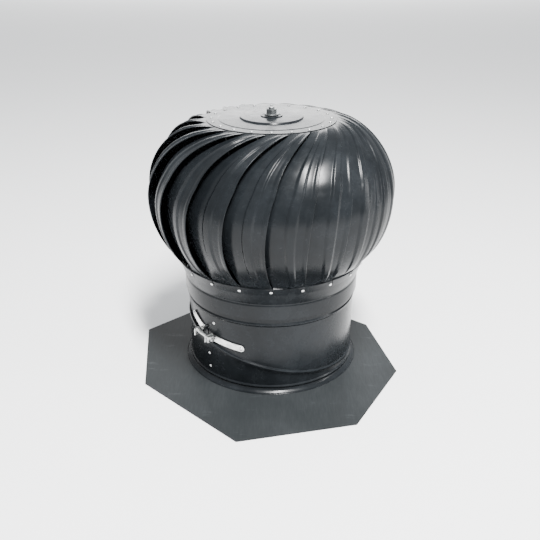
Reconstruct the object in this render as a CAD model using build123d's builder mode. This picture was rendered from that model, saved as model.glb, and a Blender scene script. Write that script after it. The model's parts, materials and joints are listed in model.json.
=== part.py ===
"""Roof turbine ventilator: a bladed head that spins in the wind on top of a swivelling throat.

Units are millimetres and degrees. +Z is up. The origin is the centre of the throat, on the flat
underside of the roof flashing. Headings are measured from +X towards +Y, seen from above.
"""

import os
from math import asin, cos, pi, radians, sin, sqrt, tan

from build123d import *

os.makedirs("parts", exist_ok=True)

# ---------------------------------------------------------------- sheet gauges
flashing_gauge = 1.0
collar_gauge = 1.0
ring_gauge = 1.0
crown_gauge = 1.0
vane_gauge = 0.8
arm_gauge = 2.5
strap_gauge = 2.0

# ---------------------------------------------------------------- clearances
slip_gap = 0.2  # collar over the flashing's upstand
swivel_gap = 0.3  # all round the swivel flange
running_gap = 0.05  # radial, shaft in a bearing and bolt in its nut
press_gap = 0.02  # radial, what is pressed home
seat_gap = 0.1  # sheet laid on sheet
spin_gap = 0.4  # between what turns and what stands
hole_gap = 0.15  # radial, cup in the crown plate's hole

# ---------------------------------------------------------------- roof flashing
flashing_corners = [
    (-249, 65), (-225, -128), (-55, -288), (142, -243),
    (232, -84), (197, 88), (55, 198), (-115, 193),
]
upstand_height = 9.0

# ---------------------------------------------------------------- collars
throat_radius = 152.5  # outside of both collars
foot_reach = 15.5  # the foot's edge past the collar
foot_cove = 6.5
foot_bead_height = 12.0
bead_rise = 2.2
bead_half_height = 2.8
lower_gore_height = 15.5
lower_gore_step = 4.45395  # to the lowest point of the joint ring's neck
upper_gore_step = 9.75395  # from the highest point of the joint ring's neck
throat_bead_height = 134.7
throat_top = 194.0

# ---------------------------------------------------------------- swivel joint
joint_slope = 15.0
joint_rise_heading = 162.0
joint_spread = 2.7  # the joint ring's radius past the collar's
joint_flange = 2.0
joint_neck = 3.6

# ---------------------------------------------------------------- collar seam
seam_heading = -135.0
seam_rivet_heights = (26.5, 54.0)
upper_seam_heading = -130.5
upper_seam_rivet_lift = 1.5  # over the upper gore
slit_heading = -136.0
slit_width = 3.0
slit_land = 6.0  # sheet left between the slit and the upper gore's edge

# ---------------------------------------------------------------- clamp
strap_reach = 12.0  # degrees each way over which a strap clears the collar
strap_width = 11.5
near_strap_start = -6.85846  # along the collar from the bolt's middle to the strap's end
near_strap_rise = 4.79421  # of that end over the bolt
near_strap_length = 42.0
near_strap_slope = -26.0
far_strap_start = 14.32824
far_strap_rise = -2.48917
far_strap_length = 67.0
far_strap_slope = -5.5
strap_end_inset = 5.0
bolt_heading = -137.0
bolt_lift = 10.90683  # over the joint
bolt_reach = 7.8  # the bolt's axis past the joint ring
bolt_slope = -4.0
near_ear_place = -13.0  # along the bolt from its middle
far_ear_place = 16.0
ear_reach = 8.0
ear_half_width = 6.5
bolt_radius = 3.0
bolt_head_flats = 10.0
bolt_head_thickness = 4.0
bolt_tail = 6.0
nut_side = 11.0
nut_thickness = 5.5

# ---------------------------------------------------------------- rivets
rivet_sides = 8
rivet_bevel = 1.0
small_head_radius = 2.7
small_head_height = 1.2
clamp_head_radius = 3.4
clamp_head_height = 1.4

# ---------------------------------------------------------------- shaft and bearings
shaft_radius = 5.0
bearing_radius = 15.0
bearing_width = 9.0
cup_wall = 1.8
cup_lip = 1.6
cup_flange_radius = 18.6
cup_flange_thickness = 1.5
thrust_radius = 9.0
thrust_height = 6.0
lower_bearing_height = 300.0
washer_radius = 12.5
washer_thickness = 2.0
shaft_nut_flats = 17.0
shaft_nut_thickness = 8.0
shaft_stub = 3.0
shaft_chamfer = 0.8
cup_floor = 1.6
housing_rim = 2.0

# ---------------------------------------------------------------- fixed brace in the throat
boss_radius = 14.0
boss_bottom = 196.0
boss_height = 38.0
brace_headings = (90.0, 210.0, 330.0)
brace_width = 20.0
brace_wall_height = 188.0
brace_tab = 18.0
brace_boss_height = 212.0
brace_bend = 6.0

# ---------------------------------------------------------------- head
vane_count = 20
first_vane_heading = -90.0  # the first vane's lower rivet
skirt_spread = 5.0  # the vane ring's skirt past the collar
skirt_bottom = 147.5
groove_depth = 1.2
groove_height = 175.0
groove_half_height = 3.0
cone_spread = 11.0  # the cone's top past the skirt
cone_top = 211.0
vane_foot_height = 196.0  # lower edge of the vanes on the cone
foot_rivet_height = 203.5
belly_radius = 213.7
belly_height = 327.4
belly_curve = 170.0  # radius of the arc below the belly
crown_radius = 110.0
crown_height = 449.6  # top of the crown plate at its rim
crown_step_radius = 90.8
crown_step = 0.7
centre_step_radius = 54.4
centre_step = 2.6
step_run = 1.8
crown_rivet_radius = 101.6
vane_tip_radius = 94.0
crown_edge_overhang = 2.0  # the vanes turn flat this far outside the crown plate

# ---------------------------------------------------------------- vane
vane_tuck = 18.0  # how deep the hidden edge lies below the free edge
tuck_fullness = 0.8
end_width = 17.2  # degrees of the circle that a vane covers at its ends
belly_extra_width = 4.3
foot_lead = 1.5  # degrees from the lower rivet to the free edge
belly_sweep = 3.8
crown_lead = 43.0
crown_lead_power = 2.9
rib_height = 1.6
shoulder_fullness = 0.49
belly_sweep_end = 0.6  # share of the vane's length
curl_start = 0.44  # share of the vane's length
vane_spans = 10
rib_share = 0.63
section_shares = (0.0, 0.3, 0.57, rib_share, 0.69, 1.0)
rib_run_in = 3.0  # how fast the rib rises from the tabs
station_reach = 0.012  # share of the length over which a section takes its slope
panel_curve = 1.5

# ---------------------------------------------------------------- head brace
head_arm_headings = (5.0, 95.0, 185.0, 275.0)
head_arm_width = 18.0
head_arm_tab = 12.0
head_arm_foot_height = 206.0
head_arm_knee_radius = 96.0
head_arm_knee_height = 284.0
head_arm_bend = 8.0

# ---------------------------------------------------------------- derived sizes
throat_bore = throat_radius - collar_gauge
foot_radius = throat_radius + foot_reach
skirt_radius = throat_radius + skirt_spread
cone_top_radius = skirt_radius + cone_spread
joint_radius = throat_radius + joint_spread
joint_rise = joint_radius * sin(radians(joint_slope)) + joint_neck * cos(radians(joint_slope))
joint_height = lower_gore_height + lower_gore_step + joint_rise  # where its plane meets the axis
upper_gore_height = joint_height + joint_rise + upper_gore_step
upper_seam_rivet_height = upper_gore_height + upper_seam_rivet_lift
slit_top = upper_gore_height - slit_land
bolt_axis_radius = joint_radius + bolt_reach
upstand_radius = throat_bore - slip_gap
pitch = 360.0 / vane_count
slant = tan(radians(joint_slope))
joint_plane = Plane(
    origin=(0, 0, joint_height),
    x_dir=(1, 0, slant * cos(radians(joint_rise_heading))),
    z_dir=(
        -slant * cos(radians(joint_rise_heading)),
        -slant * sin(radians(joint_rise_heading)),
        1,
    ),
)
cup_radius = bearing_radius + cup_wall
cone_bottom = groove_height + groove_half_height
crown_underside = crown_height - crown_gauge
centre_top = crown_height + crown_step + centre_step
cup_top = centre_top + cup_flange_thickness
upper_bearing_height = cup_top - bearing_width - cup_flange_thickness / 2
washer_height = cup_top + spin_gap
shaft_top = washer_height + washer_thickness + shaft_nut_thickness + shaft_stub
cone_slope = (cone_top_radius - skirt_radius) / (cone_top - cone_bottom)
cone_length = sqrt(1 + cone_slope**2)
foot_sag = skirt_radius - sqrt(skirt_radius**2 - (head_arm_width / 2) ** 2)


def save(builder, name):
    """Label a finished sub-part and write it as a STEP file of the same name."""
    builder.part.label = name
    export_step(builder.part, f"parts/{name}.step")


def around(heading, radius, height):
    """Return the plane that faces outwards at a heading, radius and height: x anticlockwise, y up."""
    angle = radians(heading)
    return Plane(
        origin=(radius * cos(angle), radius * sin(angle), height),
        x_dir=(-sin(angle), cos(angle), 0),
        z_dir=(cos(angle), sin(angle), 0),
    )


def upright(heading):
    """Return the upright plane through the axis at a heading: x outwards, y up."""
    angle = radians(heading)
    return Plane(
        origin=(0, 0, 0),
        x_dir=(cos(angle), sin(angle), 0),
        z_dir=(sin(angle), -cos(angle), 0),
    )


def cone_point(height, out=0.0):
    """Return (radius, height) on the vane ring's cone, moved outwards along its normal."""
    radius = skirt_radius + (height - cone_bottom) * cone_slope
    return (radius + out / cone_length, height - out * cone_slope / cone_length)


def cone_plane(heading, height, out):
    """Return the plane that lies on the cone at a heading and height, facing outwards."""
    radius, level = cone_point(height, out)
    angle = radians(heading)
    return Plane(
        origin=(radius * cos(angle), radius * sin(angle), level),
        x_dir=(-sin(angle), cos(angle), 0),
        z_dir=(cos(angle), sin(angle), -cone_slope),
    )


def joint_point(heading, drop):
    """Return (radius, height) of the joint ring's outer edge at a heading, drop below the plane."""
    turn = radians(heading - joint_rise_heading)
    slope = radians(joint_slope)
    radius = joint_radius / sqrt((cos(turn) / cos(slope)) ** 2 + sin(turn) ** 2)
    radius += drop * sin(slope) * cos(turn)
    return radius, joint_height + radius * cos(turn) * tan(slope) - drop / cos(slope)


def gore_radius(heading, height, level, drop):
    """Return the outer radius of the gore between the joint ring's neck and the level circle."""
    radius, ring_height = joint_point(heading, drop)
    share = (height - level) / (ring_height - level)
    return throat_radius + (radius - throat_radius) * min(max(share, 0), 1)


def sheet(points, gauge, side=Side.RIGHT):
    """Draw a bent sheet's section: a line through the points, thickened to one side of the way."""
    with BuildLine() as section:
        Polyline(*points)
        offset(amount=gauge, side=side, kind=Kind.INTERSECTION)
    make_face(section.edges())


def rivets(places, head_radius, head_height):
    """Add a rivet head with eight sides and a bevelled edge at each plane."""
    for place in places:
        with BuildSketch(place) as seat:
            RegularPolygon(head_radius, rivet_sides)
        with BuildSketch(place.offset(head_height)) as crown:
            RegularPolygon(head_radius - rivet_bevel, rivet_sides)
        loft([seat.sketch.face(), crown.sketch.face()], ruled=True)


def bearing(height):
    """Add a sealed ball bearing whose lower face is at a height."""
    with BuildSketch(Plane.XY.offset(height)) as section:
        Circle(bearing_radius)
        Circle(shaft_radius + running_gap, mode=Mode.SUBTRACT)
    extrude(section.sketch, amount=bearing_width)


# ================================================================ base
with BuildPart() as flashing_plate:
    with BuildSketch():
        Polygon(*flashing_corners, align=None)
        Circle(upstand_radius - flashing_gauge, mode=Mode.SUBTRACT)
    extrude(amount=flashing_gauge)
    with BuildSketch():
        Circle(upstand_radius)
        Circle(upstand_radius - flashing_gauge, mode=Mode.SUBTRACT)
    extrude(amount=upstand_height)
save(flashing_plate, "flashing_plate")

base_seam = [
    around(
        seam_heading,
        gore_radius(seam_heading, height, lower_gore_height, joint_neck) + 2 * seat_gap,
        height,
    )
    for height in seam_rivet_heights
]

with BuildPart() as lower_collar:
    with BuildSketch(Plane.XY.offset(lower_gore_height)):
        Circle(throat_radius)
    with BuildSketch(joint_plane.offset(-joint_neck)):
        Circle(joint_radius)
    loft(ruled=True)
    with BuildSketch(joint_plane.offset(-joint_neck)):
        Circle(joint_radius)
    extrude(amount=joint_neck - collar_gauge / 2)
    with BuildSketch(joint_plane.offset(-collar_gauge / 2)):
        Circle(joint_radius + joint_flange)
    extrude(amount=collar_gauge)
    with BuildSketch(Plane.XY.offset(lower_gore_height)):
        Circle(throat_bore)
    with BuildSketch(joint_plane.offset(-joint_neck)):
        Circle(joint_radius - collar_gauge)
    loft(ruled=True, mode=Mode.SUBTRACT)
    with BuildSketch(joint_plane.offset(-joint_neck)):
        Circle(joint_radius - collar_gauge)
    extrude(amount=joint_neck + collar_gauge, mode=Mode.SUBTRACT)
    with BuildSketch(Plane.XZ):
        sheet(
            [
                (foot_radius, flashing_gauge),
                (throat_bore + foot_cove, flashing_gauge),
                (throat_bore, flashing_gauge + foot_cove),
                (throat_bore, foot_bead_height - bead_half_height),
                (throat_bore + bead_rise, foot_bead_height),
                (throat_bore, foot_bead_height + bead_half_height),
                (throat_bore, lower_gore_height),
            ],
            collar_gauge,
        )
    revolve(axis=Axis.Z)
save(lower_collar, "lower_collar")

with BuildPart() as base_seam_rivets:
    rivets(base_seam, small_head_radius, small_head_height)
save(base_seam_rivets, "base_seam_rivets")

# ================================================================ neck: collar
bolt_height = joint_point(bolt_heading, 0)[1] + bolt_lift


def strap_lay(start, rise, way, length, slope):
    """Return a strap's (heading, height, length, slope) at its middle, from its end at the bolt."""
    along = start + way * length / 2 * cos(radians(slope))
    height = bolt_height + rise + way * length / 2 * sin(radians(slope))
    return bolt_heading + along / joint_radius * 180 / pi, height, length, slope


near_strap = strap_lay(near_strap_start, near_strap_rise, -1, near_strap_length, near_strap_slope)
far_strap = strap_lay(far_strap_start, far_strap_rise, 1, far_strap_length, far_strap_slope)


def strap_inside(heading, height):
    """Return a strap's inner radius: the widest collar radius under it, and a gap."""
    return swivel_gap + max(
        gore_radius(heading + side * strap_reach, edge, upper_gore_height, -joint_neck)
        for side in (-1, 0, 1)
        for edge in (height - strap_width / 2, height + strap_width / 2)
    )


def strap_rivet_place(heading, height, length, slope):
    """Return the place of the rivet at the strap's end away from the bolt."""
    away = (1 if heading > bolt_heading else -1) * (length / 2 - strap_end_inset)
    radius = strap_inside(heading, height) + strap_gauge + seat_gap
    turn = away * cos(radians(slope)) / radius
    return around(heading + turn * 180 / pi, radius, height + away * sin(radians(slope)))


strap_rivet_places = [strap_rivet_place(*near_strap), strap_rivet_place(*far_strap)]
channel_radius = joint_radius + joint_flange + swivel_gap + collar_gauge
channel_half = collar_gauge / 2 + swivel_gap + collar_gauge
upper_seam = [around(upper_seam_heading, throat_radius + seat_gap, upper_seam_rivet_height)]
brace_rivet_places = [
    around(heading, throat_radius + seat_gap, brace_wall_height) for heading in brace_headings
]

with BuildPart() as upper_collar:
    with BuildSketch(joint_plane.offset(joint_neck)):
        Circle(joint_radius)
    with BuildSketch(Plane.XY.offset(upper_gore_height)):
        Circle(throat_radius)
    loft(ruled=True)
    with BuildSketch(joint_plane.offset(-channel_half)):
        Circle(channel_radius)
    extrude(amount=2 * channel_half)
    with BuildSketch(joint_plane):
        Circle(joint_radius)
    extrude(amount=joint_neck)
    with BuildSketch(joint_plane.offset(joint_neck)):
        Circle(joint_radius - collar_gauge)
    with BuildSketch(Plane.XY.offset(upper_gore_height)):
        Circle(throat_bore)
    loft(ruled=True, mode=Mode.SUBTRACT)
    with BuildSketch(joint_plane):
        Circle(joint_radius - collar_gauge)
    extrude(amount=joint_neck, mode=Mode.SUBTRACT)
    with BuildSketch(joint_plane.offset(-channel_half)):
        Circle(joint_radius + swivel_gap)
    extrude(amount=channel_half, mode=Mode.SUBTRACT)
    with BuildSketch(joint_plane.offset(collar_gauge - channel_half)):
        Circle(channel_radius - collar_gauge)
    extrude(amount=2 * (channel_half - collar_gauge), mode=Mode.SUBTRACT)
    with BuildSketch(Plane.XZ):
        sheet(
            [
                (throat_bore, upper_gore_height),
                (throat_bore, throat_bead_height - bead_half_height),
                (throat_bore + bead_rise, throat_bead_height),
                (throat_bore, throat_bead_height + bead_half_height),
                (throat_bore, throat_top),
            ],
            collar_gauge,
        )
    revolve(axis=Axis.Z)
    with BuildSketch(around(slit_heading, throat_bore - 2 * channel_half, joint_height)):
        with Locations((0, slit_top - joint_height)):
            SlotOverall(2 * (slit_top - joint_height), slit_width, rotation=90)
    extrude(amount=6 * channel_half, mode=Mode.SUBTRACT)
save(upper_collar, "upper_collar")

with BuildPart() as neck_seam_rivet:
    rivets(upper_seam, small_head_radius, small_head_height)
save(neck_seam_rivet, "neck_seam_rivet")

# ================================================================ neck: clamp
bolt_place = around(bolt_heading, bolt_axis_radius, bolt_height)
bolt_way = bolt_place.x_dir * cos(radians(bolt_slope)) + bolt_place.y_dir * sin(radians(bolt_slope))
bolt_plane = Plane(origin=bolt_place.origin, x_dir=bolt_place.z_dir, z_dir=bolt_way)


def strap(heading, height, length, slope, ear_place):
    """Add a curved strap with a rounded end and an ear that the draw bolt passes through."""
    strap_radius = strap_inside(heading, height)
    flat = around(heading, strap_radius - strap_gauge, height)
    with BuildSketch(Plane.XY.offset(height - length)) as band:
        Circle(strap_radius + strap_gauge)
        Circle(strap_radius, mode=Mode.SUBTRACT)
    extrude(band.sketch, amount=2 * length)
    with BuildSketch(flat) as outline:
        SlotOverall(length, strap_width, rotation=slope)
    extrude(outline.sketch, amount=4 * strap_gauge, mode=Mode.INTERSECT)
    foot = sqrt((strap_radius + strap_gauge / 2) ** 2 - ear_place**2) - bolt_axis_radius
    with BuildSketch(bolt_plane.offset(ear_place - strap_gauge / 2)) as ear:
        with Locations(((foot + ear_reach) / 2, 0)):
            Rectangle(ear_reach - foot, 2 * ear_half_width)
        Circle(bolt_radius + swivel_gap, mode=Mode.SUBTRACT)
    extrude(ear.sketch, amount=strap_gauge)


with BuildPart() as strap_near:
    strap(*near_strap, near_ear_place)
save(strap_near, "strap_near")

with BuildPart() as strap_far:
    strap(*far_strap, far_ear_place)
save(strap_far, "strap_far")

with BuildPart() as strap_rivets:
    rivets(strap_rivet_places, clamp_head_radius, clamp_head_height)
save(strap_rivets, "strap_rivets")

nut_place = far_ear_place + strap_gauge / 2
with BuildPart() as clamp_nut:
    with BuildSketch(bolt_plane.offset(nut_place)):
        Rectangle(nut_side, nut_side)
        Circle(bolt_radius + running_gap, mode=Mode.SUBTRACT)
    extrude(amount=nut_thickness)
save(clamp_nut, "clamp_nut")

head_place = near_ear_place - strap_gauge / 2 - seat_gap
with BuildPart() as draw_bolt:
    with BuildSketch(bolt_plane.offset(head_place - bolt_head_thickness)):
        RegularPolygon(bolt_head_flats / 2, 6, major_radius=False)
    extrude(amount=bolt_head_thickness)
    with BuildSketch(bolt_plane.offset(head_place)):
        Circle(bolt_radius)
    extrude(amount=nut_place + nut_thickness + bolt_tail - head_place)
save(draw_bolt, "draw_bolt")

# ================================================================ neck: shaft and its brace
with BuildPart() as shaft_boss:
    with BuildSketch(Plane.XY.offset(boss_bottom)):
        Circle(boss_radius)
        Circle(shaft_radius, mode=Mode.SUBTRACT)
    extrude(amount=boss_height)
save(shaft_boss, "shaft_boss")

brace_wall = sqrt(throat_bore**2 - (brace_width / 2) ** 2) - seat_gap
for number, heading in enumerate(brace_headings, start=1):
    with BuildPart() as brace_arm:
        with BuildSketch(upright(heading)):
            sheet(
                [
                    (brace_wall, brace_wall_height - brace_tab / 2),
                    (brace_wall, brace_wall_height + brace_tab / 2),
                    (boss_radius + brace_bend, brace_boss_height + brace_tab / 2),
                    (boss_radius, brace_boss_height + brace_tab / 2),
                    (boss_radius, brace_boss_height - brace_tab / 2),
                ],
                arm_gauge,
                Side.LEFT,
            )
        extrude(amount=brace_width / 2, both=True)
    save(brace_arm, f"brace_arm_{number}")

with BuildPart() as brace_rivets:
    rivets(brace_rivet_places, small_head_radius, small_head_height)
save(brace_rivets, "brace_rivets")

with BuildPart() as fixed_shaft:
    with BuildSketch(Plane.XY.offset(boss_bottom - shaft_stub)):
        Circle(shaft_radius - press_gap)
    extrude(amount=shaft_top - boss_bottom + shaft_stub)
    chamfer(fixed_shaft.edges().sort_by(Axis.Z)[-1], length=shaft_chamfer)
save(fixed_shaft, "fixed_shaft")

with BuildPart() as thrust_collar:
    with BuildSketch(Plane.XY.offset(lower_bearing_height - spin_gap - thrust_height)):
        Circle(thrust_radius)
        Circle(shaft_radius, mode=Mode.SUBTRACT)
    extrude(amount=thrust_height)
save(thrust_collar, "thrust_collar")

with BuildPart() as lock_washer:
    with BuildSketch(Plane.XY.offset(washer_height)):
        Circle(washer_radius)
        Circle(shaft_radius, mode=Mode.SUBTRACT)
    extrude(amount=washer_thickness)
save(lock_washer, "lock_washer")

with BuildPart() as lock_nut:
    with BuildSketch(Plane.XY.offset(washer_height + washer_thickness)):
        RegularPolygon(shaft_nut_flats / 2, 6, major_radius=False)
        Circle(shaft_radius, mode=Mode.SUBTRACT)
    extrude(amount=shaft_nut_thickness)
save(lock_nut, "lock_nut")

# ================================================================ rotor: bearings and brace
with BuildPart() as lower_bearing:
    bearing(lower_bearing_height)
save(lower_bearing, "lower_bearing")

with BuildPart() as upper_bearing:
    bearing(upper_bearing_height)
save(upper_bearing, "upper_bearing")

with BuildPart() as lower_housing:
    with BuildSketch(Plane.XY.offset(lower_bearing_height - cup_floor)):
        Circle(cup_radius)
        Circle(bearing_radius - cup_lip, mode=Mode.SUBTRACT)
    extrude(amount=cup_floor + bearing_width + housing_rim)
    with BuildSketch(Plane.XY.offset(lower_bearing_height)):
        Circle(bearing_radius + press_gap)
    extrude(amount=bearing_width + housing_rim, mode=Mode.SUBTRACT)
save(lower_housing, "lower_housing")

with BuildPart() as upper_cup:
    with BuildSketch(Plane.XZ):
        Polygon(
            (bearing_radius + press_gap, cup_top),
            (cup_flange_radius, cup_top),
            (cup_flange_radius, centre_top),
            (cup_radius, centre_top),
            (cup_radius, upper_bearing_height - cup_floor),
            (bearing_radius - cup_lip, upper_bearing_height - cup_floor),
            (bearing_radius - cup_lip, upper_bearing_height),
            (bearing_radius + press_gap, upper_bearing_height),
            align=None,
        )
    revolve(axis=Axis.Z)
save(upper_cup, "upper_cup")

head_arm_foot = cone_point(head_arm_foot_height, -ring_gauge - seat_gap - foot_sag)
head_arm_toe = cone_point(head_arm_foot_height - head_arm_tab, -ring_gauge - seat_gap - foot_sag)
arm_level = lower_bearing_height + bearing_width / 2
for number, heading in enumerate(head_arm_headings, start=1):
    with BuildPart() as head_arm:
        with BuildSketch(upright(heading)):
            sheet(
                [
                    head_arm_toe,
                    head_arm_foot,
                    (head_arm_knee_radius, head_arm_knee_height),
                    (cup_radius + head_arm_bend, arm_level + head_arm_tab / 2),
                    (cup_radius, arm_level + head_arm_tab / 2),
                    (cup_radius, arm_level - head_arm_tab / 2),
                ],
                arm_gauge,
                Side.LEFT,
            )
        extrude(amount=head_arm_width / 2, both=True)
    save(head_arm, f"head_arm_{number}")

# ================================================================ rotor: ring and crown
vane_headings = [first_vane_heading + pitch * number for number in range(vane_count)]
foot_rivet_places = [
    cone_plane(heading, foot_rivet_height, 2 * seat_gap + vane_gauge + seat_gap)
    for heading in vane_headings
]
crown_rivet_places = [
    Plane(
        origin=(
            crown_rivet_radius * cos(radians(heading)),
            crown_rivet_radius * sin(radians(heading)),
            crown_height + seat_gap / 2,
        )
    )
    for heading in vane_headings
]

with BuildPart() as vane_ring:
    with BuildSketch(Plane.XZ):
        sheet(
            [
                (skirt_radius, skirt_bottom),
                (skirt_radius, groove_height - groove_half_height),
                (skirt_radius - groove_depth, groove_height),
                (skirt_radius, cone_bottom),
                (cone_top_radius, cone_top),
            ],
            ring_gauge,
            Side.LEFT,
        )
    revolve(axis=Axis.Z)
save(vane_ring, "vane_ring")

with BuildPart() as crown_plate:
    with BuildSketch(Plane.XZ):
        sheet(
            [
                (cup_radius + hole_gap, centre_top),
                (centre_step_radius - step_run, centre_top),
                (centre_step_radius, centre_top - centre_step),
                (crown_step_radius - step_run, centre_top - centre_step),
                (crown_step_radius, crown_height),
                (crown_radius, crown_height),
            ],
            crown_gauge,
            Side.RIGHT,
        )
    revolve(axis=Axis.Z)
save(crown_plate, "crown_plate")

with BuildPart() as foot_rivets:
    rivets(foot_rivet_places, small_head_radius, small_head_height)
save(foot_rivets, "foot_rivets")

with BuildPart() as crown_rivets:
    rivets(crown_rivet_places, small_head_radius, small_head_height)
save(crown_rivets, "crown_rivets")

# ================================================================ rotor: vanes
vane_foot = cone_point(vane_foot_height, 2 * seat_gap + vane_gauge)
vane_knee = cone_point(cone_top, 2 * seat_gap + vane_gauge)
vane_tip_height = crown_underside - seat_gap
shoulder_reach = belly_radius - crown_radius - crown_edge_overhang
shoulder_rise = vane_tip_height - belly_height

with BuildLine(Plane.XZ) as meridian:
    Line(vane_foot, vane_knee)
    low_turn = asin((belly_height - vane_knee[1]) / belly_curve)
    ThreePointArc(
        vane_knee,
        (
            belly_radius - belly_curve * (1 - cos(low_turn / 2)),
            belly_height - belly_curve * sin(low_turn / 2),
        ),
        (belly_radius, belly_height),
    )
    Bezier(
        (belly_radius, belly_height),
        (belly_radius, belly_height + shoulder_fullness * shoulder_rise),
        (belly_radius - shoulder_reach + shoulder_fullness * shoulder_reach, vane_tip_height),
        (belly_radius - shoulder_reach, vane_tip_height),
    )
    Line((belly_radius - shoulder_reach, vane_tip_height), (vane_tip_radius, vane_tip_height))

meridian_length = meridian.wire().length
foot_tab = (cone_top - vane_foot_height) / meridian_length
tip_tab = (belly_radius - shoulder_reach - vane_tip_radius) / meridian_length
stations = [0] + [
    foot_tab + (1 - foot_tab - tip_tab) * step / vane_spans for step in range(vane_spans + 1)
] + [1]


def free_edge_heading(share):
    """Return the free edge's heading past the lower rivet, at a share of the meridian's length."""
    sweep = belly_sweep * sin(pi * min(share / belly_sweep_end, 1))
    curl = crown_lead * max((share - curl_start) / (1 - curl_start), 0) ** crown_lead_power
    return foot_lead * (1 - share) - sweep + curl


def vane_section(share):
    """Return the corners of the vane's section, square to the meridian, outside face first."""
    place = meridian.wire().position_at(share)
    before = meridian.wire().position_at(max(share - station_reach, 0))
    after = meridian.wire().position_at(min(share + station_reach, 1))
    along = (after - before).normalized()
    width = radians(end_width + belly_extra_width * sin(pi * share) ** 2)
    bare = min(max((share - foot_tab) / (1 - foot_tab - tip_tab), 0), 1)
    depth = vane_tuck * sin(pi * bare) ** tuck_fullness
    angle = radians(first_vane_heading + free_edge_heading(share)) - width / 2
    plane = Plane(
        origin=(place.X * cos(angle), place.X * sin(angle), place.Z),
        x_dir=(-sin(angle), cos(angle), 0),
        z_dir=(-along.X * cos(angle), -along.X * sin(angle), -along.Z),
    )
    outside = []
    for point in section_shares:
        turn = width * (point - 0.5)
        height = -along.Z * place.X * (1 - cos(turn)) - depth * (1 - point) ** panel_curve
        if point == rib_share:
            height += rib_height * min(sin(pi * bare) * rib_run_in, 1)
        outside.append((place.X * sin(turn), height))
    inside = [(x, y - vane_gauge) for x, y in reversed(outside)]
    return [plane.from_local_coords((x, y, 0)) for x, y in outside + inside]


def pressed_sheet(sections):
    """Return the solid whose flat facets join each section's corners to the next section's."""
    faces = [Face(Wire.make_polygon(sections[0])), Face(Wire.make_polygon(sections[-1]))]
    for low, high in zip(sections, sections[1:]):
        for corner in range(len(low)):
            ahead = (corner + 1) % len(low)
            faces.append(Face(Wire.make_polygon([low[corner], low[ahead], high[corner]])))
            faces.append(Face(Wire.make_polygon([low[ahead], high[ahead], high[corner]])))
    return Solid(Shell(faces))


with BuildPart() as vane:
    add(pressed_sheet([vane_section(share) for share in stations]))
for number, heading in enumerate(vane_headings, start=1):
    with BuildPart() as one_vane:
        add(vane.part.rotate(Axis.Z, heading - first_vane_heading))
    save(one_vane, f"vane_{number:02d}")
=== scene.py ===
"""Dressed model of a roof turbine ventilator, laid over its CAD frame.

Lengths are metres and headings are degrees from +X towards +Y, in the frame of the CAD model.
"""

from __future__ import annotations

import json
import logging
import math
from dataclasses import dataclass, field
from enum import Enum
from typing import TypeAlias

import bpy
import numpy as np
from mathutils import Matrix

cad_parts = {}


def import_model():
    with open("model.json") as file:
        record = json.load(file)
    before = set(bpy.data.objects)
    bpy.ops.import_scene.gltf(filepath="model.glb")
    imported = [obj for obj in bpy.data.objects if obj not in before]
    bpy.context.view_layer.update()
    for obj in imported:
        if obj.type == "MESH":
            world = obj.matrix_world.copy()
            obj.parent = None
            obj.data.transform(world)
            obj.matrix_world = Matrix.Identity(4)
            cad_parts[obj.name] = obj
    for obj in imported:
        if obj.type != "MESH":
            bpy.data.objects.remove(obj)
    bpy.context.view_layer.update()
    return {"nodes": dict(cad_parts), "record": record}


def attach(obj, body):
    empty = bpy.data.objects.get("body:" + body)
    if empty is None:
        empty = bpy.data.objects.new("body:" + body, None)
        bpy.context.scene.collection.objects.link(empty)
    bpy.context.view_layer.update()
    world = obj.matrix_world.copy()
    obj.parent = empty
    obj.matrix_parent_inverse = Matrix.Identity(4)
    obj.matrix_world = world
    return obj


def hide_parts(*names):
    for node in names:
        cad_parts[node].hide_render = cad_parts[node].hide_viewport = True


LOG = logging.getLogger("ventilator")
MM = 0.001
Point: TypeAlias = tuple[float, float, float]
Feed: TypeAlias = "Value | float | tuple | bpy.types.NodeSocket"


# ------------------------------------------------------------------ shader graph
class Value:
    """A socket of a shader graph that sums, differences and products can be made with."""

    def __init__(self, graph: Graph, socket: bpy.types.NodeSocket) -> None:
        """Keep the graph and the socket.

        Args:
            graph: Graph that holds the node.
            socket: Output socket that carries the number.
        """
        self.graph = graph
        self.socket = socket

    def _maths(self, operation: str, other: Value | float, swap: bool = False) -> Value:
        """Join this value and another with one Math node.

        Args:
            operation: Name of the Math node's operation.
            other: Second operand.
            swap: Whether the other operand comes first.

        Returns:
            The value that comes out.
        """
        first, second = (other, self) if swap else (self, other)
        return self.graph.maths(operation, first, second)

    def __add__(self, other: Value | float) -> Value:
        """Return the sum."""
        return self._maths("ADD", other)

    def __radd__(self, other: float) -> Value:
        """Return the sum."""
        return self._maths("ADD", other, swap=True)

    def __sub__(self, other: Value | float) -> Value:
        """Return the difference."""
        return self._maths("SUBTRACT", other)

    def __rsub__(self, other: float) -> Value:
        """Return the difference, taken from a number."""
        return self._maths("SUBTRACT", other, swap=True)

    def __mul__(self, other: Value | float) -> Value:
        """Return the product."""
        return self._maths("MULTIPLY", other)

    def __rmul__(self, other: float) -> Value:
        """Return the product."""
        return self._maths("MULTIPLY", other, swap=True)

    def ramp(self, low: float, high: float) -> Value:
        """Return 0 below low, 1 above high, and a smooth rise between them."""
        return self.graph.smooth(self, low, high)


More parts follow.
